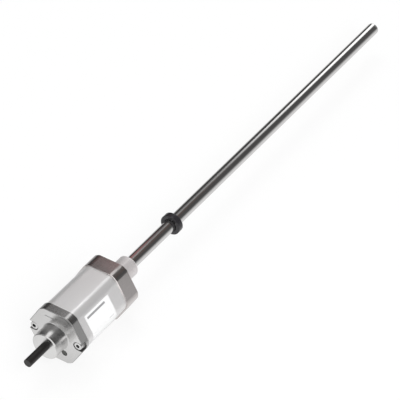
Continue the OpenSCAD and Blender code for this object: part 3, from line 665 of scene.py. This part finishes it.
def screw_body():
    """Socket screw along +X with the top of its head at the origin."""
    bm = bmesh.new()
    steps = 48
    sixth = math.pi / 3
    turns = [math.tau * k / steps for k in range(steps)]

    def loop(x, radii):
        return [bm.verts.new((x * MM, r * math.cos(a) * MM, r * math.sin(a) * MM))
                for a, r in zip(turns, radii)]

    def hexagon(x):
        return loop(x, [KEY / 2 / math.cos((a + sixth / 2) % sixth - sixth / 2) for a in turns])

    def circle(x, r):
        return loop(x, [r] * steps)

    rings = [hexagon(2.0), hexagon(0.0), circle(0.0, KEY / 2 / math.cos(sixth / 2) + 0.25),
             circle(0.0, HEAD_R - 0.45), circle(0.12, HEAD_R - 0.2), circle(0.45, HEAD_R - 0.12),
             circle(HEAD_T - 0.15, HEAD_R - 0.12), circle(HEAD_T, HEAD_R - 0.25), circle(HEAD_T, SHANK_R),
             circle(SHANK_END - 0.4, SHANK_R), circle(SHANK_END, SHANK_R - 0.4)]
    for a, b in zip(rings, rings[1:]):
        for k in range(steps):
            bm.faces.new((a[k], a[(k + 1) % steps], b[(k + 1) % steps], b[k]))
    bm.faces.new(rings[0])
    bm.faces.new(rings[-1][::-1])
    bmesh.ops.recalc_face_normals(bm, faces=bm.faces)
    shade(bm, 32)
    return mesh_of(bm, "screw_body")


# %% Screw tree
def screw_tree(finish):
    tree, given, end = start_tree("cap_screws", {
        "Ridges": 36, "Ridge radius": 3.3 * MM, "Ridge width": 0.36 * MM, "Ridge length": 3.2 * MM,
        "Ridge start": 0.5 * MM, "Half span": 20.2 * MM, "Head place": 0.0})
    half_width = times(tree, given["Ridge width"], 0.55)
    ridge = put(tree, "GeometryNodeMeshCone", {
        "Vertices": 4, "Radius Top": half_width, "Radius Bottom": half_width, "Depth": given["Ridge length"]})
    circle = put(tree, "GeometryNodeMeshCircle", {
        "Vertices": given["Ridges"], "Radius": given["Ridge radius"]})
    spot = put(tree, "GeometryNodeInputPosition")
    facing = put(tree, "FunctionNodeAlignRotationToVector", {"Vector": spot}, axis="X")
    ridges = put(tree, "GeometryNodeInstanceOnPoints", {
        "Points": circle, "Instance": ridge, "Rotation": facing})
    laid = put(tree, "GeometryNodeTransform", {
        0: ridges, "Rotation": (0.0, math.pi / 2, 0.0),
        "Translation": vector(tree, given["Ridge start"])})
    whole = joined(tree, given["Geometry"], laid)
    near = vector(tree, given["Head place"], times(tree, given["Half span"], -1.0))
    wide = vector(tree, given["Head place"], given["Half span"])
    line = put(tree, "GeometryNodeMeshLine", {"Count": 2, "Start Location": near, "Offset": wide},
               mode="END_POINTS")
    pair = put(tree, "GeometryNodeInstanceOnPoints", {
        "Points": line, "Instance": whole})
    close_tree(tree, end, pair, finish)
    return tree


screws = grow("cap_screws_skin", screw_tree(screw_steel), {
    "Half span": SCREW_Y * MM, "Head place": HEAD_X * MM, "Ridge start": 2.15 * MM}, screw_body())
hand_over(screws, None, stands_for=("cap_screws",))

# %% [markdown]
# ## Painted shade in the small recesses
# The slots round the screw heads, the engraved line and the hexagonal sockets are deep and narrow. On the
# real cap their walls only see each other, so they read as dark lines. Ambient occlusion could find them,
# but it is costly and the exported model loses it. The recesses stand at known places, so shade is painted
# into the finish there, by its distance from the screw's axis and its depth below the face. Lighter
# painted shade goes on the cap's front edge and on the faces set back behind its front.


# %% Painted shade in the recesses
RECESS_R, SLOT_Y, MARK_Z, CHAMFER_R, SOCKET_R = 4.0, 15.6, 16.7, 22.0, 1.8


def below_face(tree, start):
    """Place in millimetres, and 1 where a point lies deeper than this below the cap's face."""
    split = split_place(tree)
    x, y, z = (over(tree, split[k], MM) for k in range(3))
    return y, z, spread(tree, x, HEAD_X + start - 0.1, HEAD_X + start)


def from_screw(tree, y, z, inner_side_only=False):
    """Distance in millimetres from the nearer screw's axis, or from the middle line of its slot."""
    off = minus(tree, absolute(tree, y), SCREW_Y)
    return hypotenuse(tree, smaller(tree, off, 0.0) if inner_side_only else off, z)


# Painted shade: mixes the finish towards near black where the mask is, and makes it rougher
def paint_shade(tree, where, colour_share, rougher=0.25):
    share = times(tree, where, 1.0 - colour_share)
    drive(tree, Base_Color=mix(tree, share, source_of(tree, "Base Color"), (0.02, 0.02, 0.02, 1)))
    if rougher:
        drive(tree, Roughness=plus(tree, source_of(tree, "Roughness"), times(tree, where, rougher)))


tree = cap_metal.node_tree
y, z, deep = below_face(tree, 0.0)
round_head = spread(tree, from_screw(tree, y, z), RECESS_R, RECESS_R - 0.1)
to_slot = from_screw(tree, y, z, True)
slot_wall = times(tree, spread(tree, to_slot, RECESS_R - 0.3, RECESS_R - 0.2, 0.0, 0.6),
                  spread(tree, to_slot, RECESS_R + 0.1, RECESS_R))
slot_side = spread(tree, absolute(tree, y), SLOT_Y - 0.1, SLOT_Y)
pocket_shade = times(tree, larger(tree, round_head, slot_wall), times(tree, deep, slot_side))
line_z = spread(tree, absolute(tree, minus(tree, z, MARK_Z)), 0.5, 0.4)
groove_shade = times(tree, line_z, below_face(tree, -0.02)[2])
# The engraved line's painted shade grows from nothing at y = -2 mm to most of its strength at y = 3 mm
groove_shade = times(tree, groove_shade, spread(tree, y, -2.0, 3.0, 0.0, 0.8))
recess_shade = larger(tree, pocket_shade, groove_shade)
# Painted shade in the counterbores, slots and engraved line: down to a quarter of the metal's colour
paint_shade(tree, recess_shade, 0.25)
# Painted shade: every face set back more than 0.3 mm behind the front, outside the recesses, is a fifth
# darker
set_back_shade = times(tree, below_face(tree, 0.3)[2], spread(tree, recess_shade, 0.0, 1.0, 1.0, 0.0))
paint_shade(tree, set_back_shade, 0.80, 0.0)
# Painted shade on the front edge: a band round the face beyond 22 mm from the axis, up to 0.25 mm deep, at
# half its colour
edge_shade = times(tree, below_face(tree, -0.1)[2], spread(tree, below_face(tree, 0.25)[2], 0.0, 1.0, 1.0, 0.0))
edge_shade = times(tree, edge_shade, spread(tree, hypotenuse(tree, y, z), CHAMFER_R - 0.5, CHAMFER_R))
paint_shade(tree, edge_shade, 0.5, 0.1)
# Painted shade in the screws' hexagonal sockets: deeper than 0.25 mm below the head's top, at about a third
# of the steel's colour
tree = screw_steel.node_tree
y, z, deep = below_face(tree, 0.25)
paint_shade(tree, times(tree, deep, spread(tree, from_screw(tree, y, z), SOCKET_R, SOCKET_R - 0.08)), 0.36)
print("dark recesses begin", round(HEAD_X, 2), "mm along the axis")

# %% [markdown]
# ## Label
# A white foil label is wrapped round one corner of the housing. It carries one bar and one fine line. The
# material draws them from the distance along the housing and the distance down the sloping face, so they
# lie flat on the foil.

# %% Label
FACE_MIDDLE, DOWN_FACE = (-19.05, 11.0), (-0.5, -0.866)
label_white, tree = principled("label_white", Metallic=0.0, Roughness=0.38, Coat_Weight=0.15)
split = split_place(tree)
along = over(tree, split["X"], MM)
down = plus(tree, *(times(tree, minus(tree, split[axis], middle * MM), step / MM)
                    for axis, middle, step in zip("YZ", FACE_MIDDLE, DOWN_FACE)))


def between(value, low, high, soft=0.08):
    rise = spread(tree, value, low - soft, low + soft)
    fall = spread(tree, value, high - soft, high + soft, 1.0, 0.0)
    return times(tree, rise, fall)


bars = larger(tree, *(times(tree, between(along, x0, x1), between(down, y0, y1)) for x0, x1, y0, y1 in (
    (-55.4, -33.4, -4.4, -2.6), (-36.0, -30.0, 9.3, 9.6))))
fibre = noise(tree, object_point(tree), (6.0, 6.0, 6.0))
sheet = mix(tree, fibre, (0.90, 0.90, 0.905, 1), (0.94, 0.94, 0.94, 1))
drive(tree, Base_Color=mix(tree, bars, sheet, (0.33, 0.33, 0.335, 1)))
fine_bump(tree, fibre, 0.1, 0.01)
skin("type_label", label_white, "label_white")

# %% [markdown]
# ## Inside the housing
# The measuring happens out of sight. A current pulse runs down a copper wire in the waveguide tube, the
# ring magnet twists the tube where it stands, and a coil at the head end feels the twist arrive. These
# pieces show only when the model is cut open, so most keep their CAD shape with smooth shading. All but
# the boards, chips, capacitors and the coil also keep the plain materials that the frame gives them.

# %% Inner materials
SLOTS = {part["node"]: part["material_slot"] for part in frame["record"]["subparts"]}


def finish_of(node):
    """The frame's own plain material for a node, and the name of its slot."""
    return bpy.data.materials[SLOTS[node]], SLOTS[node]


# %% Round inner pieces
ROUND = ["cable_grommet", "gland_washer", "gland_nut", "crimp_ring", "status_led", "waveguide",
         "pulse_conductor", "insulating_sleeve", "tip_damper", "coil_bobbin", "coil_shield", "head_damper",
         "chassis", "chassis_screws", "board_screws"]
ROUND += ["cable_core_%d" % k for k in range(1, 7)] + ["rod_spacer_%d" % k for k in range(1, 7)]
for node in ROUND:
    skin(node, *finish_of(node))
skin("ring_magnet", *finish_of("ring_magnet"), "magnet")


# %% Moulded blocks
def block(node, edge):
    """A moulded or cut block: the CAD box with its edges slightly rounded."""
    bm = merged(node)
    bmesh.ops.dissolve_limit(bm, angle_limit=0.01, verts=bm.verts, edges=bm.edges)
    bmesh.ops.bevel(bm, geom=list(bm.edges), offset=edge * MM, segments=2, affect="EDGES", clamp_overlap=True)
    shade(bm, 40)
    return settle(bm, node + "_block", *finish_of(node), stands_for=(node,))


for node, edge in (("core_plug", 0.25), ("core_socket", 0.25), ("link_header", 0.2), ("bias_magnet", 0.2)):
    block(node, edge)

# %% [markdown]
# ## Boards
# A circuit board is glass fibre under green lacquer. Copper tracks show through as lighter lines, and
# tinned rings stand where tracks change sides. An image of a real layout would do, but a rule gives the
# same look: the board is split into strips, a number drawn for each piece of strip says whether a track
# runs there, and a second grid sets the rings. The cut edge is bare glass fibre, which the direction of
# the surface tells.


# %% Board finish
def chance(tree, a, b):
    pair = vector(tree, maths(tree, "FLOOR", a), maths(tree, "FLOOR", b))
    return add(tree, "ShaderNodeTexWhiteNoise", {"Vector": pair}, noise_dimensions="3D").outputs["Value"]


STRIP, TRACK_PIECE, RING_GRID = 0.7, 3.1, 2.54
board_green, tree = principled("board_green", Coat_Weight=0.2)
split = split_place(tree)
x, y = (over(tree, split[k], MM) for k in range(2))
strip = over(tree, y, STRIP)
drawn = chance(tree, over(tree, x, TRACK_PIECE), plus(tree, strip, 0.5))
track = times(tree, spread(tree, pingpong(tree, strip, 0.5), 0.16, 0.2, 1.0, 0.0),
              maths(tree, "GREATER_THAN", drawn, 0.45))
grid_x, grid_y = (over(tree, place, RING_GRID) for place in (x, y))
away = hypotenuse(tree, pingpong(tree, grid_x, 0.5), pingpong(tree, grid_y, 0.5))
drawn = chance(tree, plus(tree, grid_x, 0.5), plus(tree, grid_y, 0.5))
ring = times(tree, spread(tree, away, 0.13, 0.15, 1.0, 0.0), maths(tree, "GREATER_THAN", drawn, 0.6))
normal = add(tree, "ShaderNodeNewGeometry").outputs["Normal"]
upright = absolute(tree, add(tree, "ShaderNodeSeparateXYZ", {0: normal}).outputs["Z"])
cut_edge = spread(tree, upright, 0.5, 0.6, 1.0, 0.0)
colour = mix(tree, track, (0.009, 0.060, 0.022, 1), (0.016, 0.11, 0.04, 1))
colour = mix(tree, ring, colour, (0.60, 0.60, 0.58, 1))
drive(tree, Base_Color=mix(tree, cut_edge, colour, (0.20, 0.18, 0.09, 1)),
      Metallic=times(tree, ring, minus(tree, 1.0, cut_edge)),
      Roughness=spread(tree, cut_edge, 0.0, 1.0, 0.28, 0.7))
for node in ("main_board", "interface_board"):
    nodes[node].material_slots[0].material = board_green
print("boards dressed")

# %% Capacitors
capacitor_blue, tree = principled("capacitor_blue", Coat_Weight=0.1)
split = split_place(tree)
x, z = (over(tree, split[k], MM) for k in (0, 2))
low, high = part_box("storage_capacitors")
lid = spread(tree, z, high.z / MM - 0.05, high.z / MM - 0.01)
stripe = spread(tree, x, low.x / MM + 1.1, low.x / MM + 1.0)
grain = noise(tree, object_point(tree), (2.0, 2.0, 2.0))
sleeve = mix(tree, grain, (0.010, 0.026, 0.10, 1), (0.014, 0.034, 0.13, 1))
striped = mix(tree, stripe, sleeve, (0.62, 0.65, 0.70, 1))
drive(tree, Base_Color=mix(tree, lid, striped, (0.72, 0.72, 0.72, 1)), Metallic=lid,
      Roughness=spread(tree, lid, 0.0, 1.0, 0.3, 0.36))
skin("storage_capacitors", capacitor_blue, "capacitor_blue")

# %% [markdown]
# ## Wound coil
# The pickup coil is enamelled copper wire on a bobbin. Its outer layer is what shows, one long spiral. A
# bump texture would flatten at the outline, so a curve follows the winding rule and a round profile is
# swept along it, over a plain core that stands for the layers underneath.


# %% Coil tree
COIL_IN, COIL_R = 1.6, 3.8


def coil_tree(finish):
    tree, given, end = start_tree("coil_winding", {
        "Turns": 30.0, "Wire": 0.2 * MM, "Radius": COIL_R * MM, "Length": 11.6 * MM, "Start": 0.0})
    path = put(tree, "GeometryNodeCurveSpiral", {
        "Resolution": 24, "Rotations": given["Turns"], "Start Radius": given["Radius"],
        "End Radius": given["Radius"], "Height": given["Length"]})
    wire = put(tree, "GeometryNodeCurvePrimitiveCircle", {"Resolution": 8, "Radius": given["Wire"]})
    swept = put(tree, "GeometryNodeCurveToMesh", {
        "Curve": path, "Profile Curve": wire, "Fill Caps": True})
    laid = put(tree, "GeometryNodeTransform", {
        0: swept, "Rotation": (0.0, math.pi / 2, 0.0),
        "Translation": vector(tree, given["Start"])})
    whole = joined(tree, given["Geometry"], laid)
    close_tree(tree, end, whole, finish)
    return tree


# %% Coil
coil_wire = worked("coil_wire", (0.42, 0.13, 0.05), 0.6, 0.3, (3.0, 3.0, 3.0), tint=0.15, Coat_Weight=0.3)
coil_low, coil_high = (round(v.x / MM, 3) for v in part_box("pickup_coil"))
profile = [(coil_low, COIL_IN), (coil_low, COIL_R), (coil_high, COIL_R), (coil_high, COIL_IN)]
bm = spin(profile, 48, closed=True)
shade(bm, 40)
core = mesh_of(bm, "coil_core")
coil = grow("pickup_coil_wound", coil_tree(coil_wire), {"Start": (coil_low + 0.2) * MM}, core)
hand_over(coil, None, stands_for=("pickup_coil",))

# %% [markdown]
# ## Chips and small parts
# A chip is a moulded block on rows of bent pins. One pin is made as a mesh, and a tree sets it along a
# side and turns that side about the chip. The pins are tinned and the block is black, so each pin carries
# a number on its faces, and the finish reads that number to choose between the two.

# %% Tinned or moulded
parts_finish, tree = principled("chip_and_pins")
tinned = add(tree, "ShaderNodeAttribute", attribute_name="tinned").outputs["Fac"]
grain = noise(tree, object_point(tree), (12.0, 12.0, 12.0))
mould = mix(tree, grain, (0.014, 0.014, 0.016, 1), (0.021, 0.021, 0.023, 1))
drive(tree, Base_Color=mix(tree, tinned, mould, (0.66, 0.66, 0.65, 1)), Metallic=tinned,
      Roughness=spread(tree, tinned, 0.0, 1.0, 0.5, 0.3))


def solid(boxes, edge=0.0):
    """Blocks given as (low corner, high corner, tinned) in millimetres, in one mesh."""
    bm = bmesh.new()
    layer = bm.faces.layers.float.new("tinned")
    for low, high, is_tinned in boxes:
        part = bmesh.new()
        bmesh.ops.create_cube(part, size=1.0)
        for vert in part.verts:
            vert.co = Vector([(low[k] + (vert.co[k] + 0.5) * (high[k] - low[k])) * MM for k in range(3)])
        if edge:
            bmesh.ops.bevel(part, geom=list(part.edges), offset=edge * MM, segments=1, affect="EDGES")
        count = len(bm.faces)
        bm.from_mesh(mesh_of(part, "part"))
        bm.faces.ensure_lookup_table()
        for face in bm.faces[count:]:
            face[layer] = float(is_tinned)
    return bm


# %% Pin tree
def pins_tree(finish):
    tree, given, end = start_tree("chip_pins", {
        "Pins": 8, "Pitch": 1.0 * MM, "Sides": 4, "X": 0.0, "Y": 0.0, "Z": 0.0})
    first = times(tree, times(tree, minus(tree, given["Pins"], 1.0), given["Pitch"]), -0.5)
    row = put(tree, "GeometryNodeMeshLine", {
        "Count": given["Pins"], "Start Location": vector(tree, y=first),
        "Offset": vector(tree, y=given["Pitch"])})
    side = put(tree, "GeometryNodeInstanceOnPoints", {
        "Points": row, "Instance": given["Geometry"]})
    middle = put(tree, "GeometryNodeMeshLine", {"Count": given["Sides"], "Offset": (0.0, 0.0, 0.0)})
    turn = over(tree, times(tree, put(tree, "GeometryNodeInputIndex"), math.tau), given["Sides"])
    facing = put(tree, "FunctionNodeEulerToRotation", {0: vector(tree, z=turn)})
    sides = put(tree, "GeometryNodeInstanceOnPoints", {
        "Points": middle, "Instance": side, "Rotation": facing})
    place = vector(tree, given["X"], given["Y"], given["Z"])
    laid = put(tree, "GeometryNodeTransform", {0: sides, "Translation": place})
    close_tree(tree, end, laid, finish)
    return tree


# %% Chips
pins = pins_tree(parts_finish)
for node, count, pitch, sides, inset_y, wide in (("processor", 16, 0.5, 4, 1.0, 0.22),
                                                 ("pulse_driver", 7, 1.27, 2, 0.3, 0.42)):
    low, high = (Vector(v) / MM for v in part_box(node))
    middle = (low + high) / 2
    half_x, side = (high.x - low.x) / 2, wide / 2
    inset = Vector((1.0, inset_y, 0.0))
    body = solid([(low + inset + Vector((0.0, 0.0, 0.12)), high - inset, 0)], 0.12)
    settle(body, node + "_body", parts_finish, "chip_black", stands_for=(node,))
    pin = mesh_of(solid([((half_x - 1.05, -side, 0.55), (half_x - 0.7, side, 0.7), 1),
                         ((half_x - 0.75, -side, 0.0), (half_x - 0.6, side, 0.7), 1),
                         ((half_x - 0.75, -side, 0.0), (half_x, side, 0.14), 1)]), node + "_pin")
    made = grow(node + "_pins", pins, {"Pins": count, "Pitch": pitch * MM, "Sides": sides,
                                       "X": middle.x * MM, "Y": middle.y * MM, "Z": low.z * MM}, pin)
    hand_over(made, None)


# %% Small parts
def small_tree(finish):
    """Sets a part on a grid of places and leaves some of them empty."""
    tree, given, end = start_tree("small_parts", {
        "Along": 8, "Across": 2, "Length": 15.0 * MM, "Width": 2.6 * MM, "X": 0.0, "Y": 0.0, "Z": 0.0,
        "Filled": 0.75, "Seed": 4})
    grid = put(tree, "GeometryNodeMeshGrid", {
        "Size X": given["Length"], "Size Y": given["Width"], "Vertices X": given["Along"],
        "Vertices Y": given["Across"]})
    empty = add(tree, "FunctionNodeRandomValue", {
        "Probability": minus(tree, 1.0, given["Filled"]), "Seed": given["Seed"]},
        data_type="BOOLEAN").outputs[3]
    spots = put(tree, "GeometryNodeDeleteGeometry", {0: grid, "Selection": empty})
    turned = add(tree, "FunctionNodeRandomValue", {
        "Probability": 0.4, "Seed": plus(tree, given["Seed"], 1.0)}, data_type="BOOLEAN").outputs[3]
    facing = put(tree, "FunctionNodeEulerToRotation", {0: vector(tree, z=times(tree, turned, math.pi / 2))})
    parts = put(tree, "GeometryNodeInstanceOnPoints", {
        "Points": spots, "Instance": given["Geometry"], "Rotation": facing})
    place = vector(tree, given["X"], given["Y"], given["Z"])
    laid = put(tree, "GeometryNodeTransform", {0: parts, "Translation": place})
    close_tree(tree, end, laid, finish)
    return tree


smalls = small_tree(parts_finish)
board_top = (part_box("main_board")[1] / MM).z
GRID_X, GRID_Y = -35.0, 8.2
for name, y_mid, seed in (("small_parts_near", -GRID_Y, 4), ("small_parts_far", GRID_Y, 9)):
    chip = mesh_of(solid([((-0.5, -0.4, 0.0), (0.5, 0.4, 0.45), 0),
                          ((-0.8, -0.4, 0.0), (-0.5, 0.4, 0.47), 1),
                          ((0.5, -0.4, 0.0), (0.8, 0.4, 0.47), 1)]), "small_part")
    made = grow(name, smalls, {"X": GRID_X * MM, "Y": y_mid * MM, "Z": board_top * MM, "Seed": seed}, chip)
    hand_over(made, None)

# %% [markdown]
# ## Colour view
# The scene's colours are shown through the plain Standard view transform.

# %% Colour view
scene.view_settings.view_transform = "Standard"
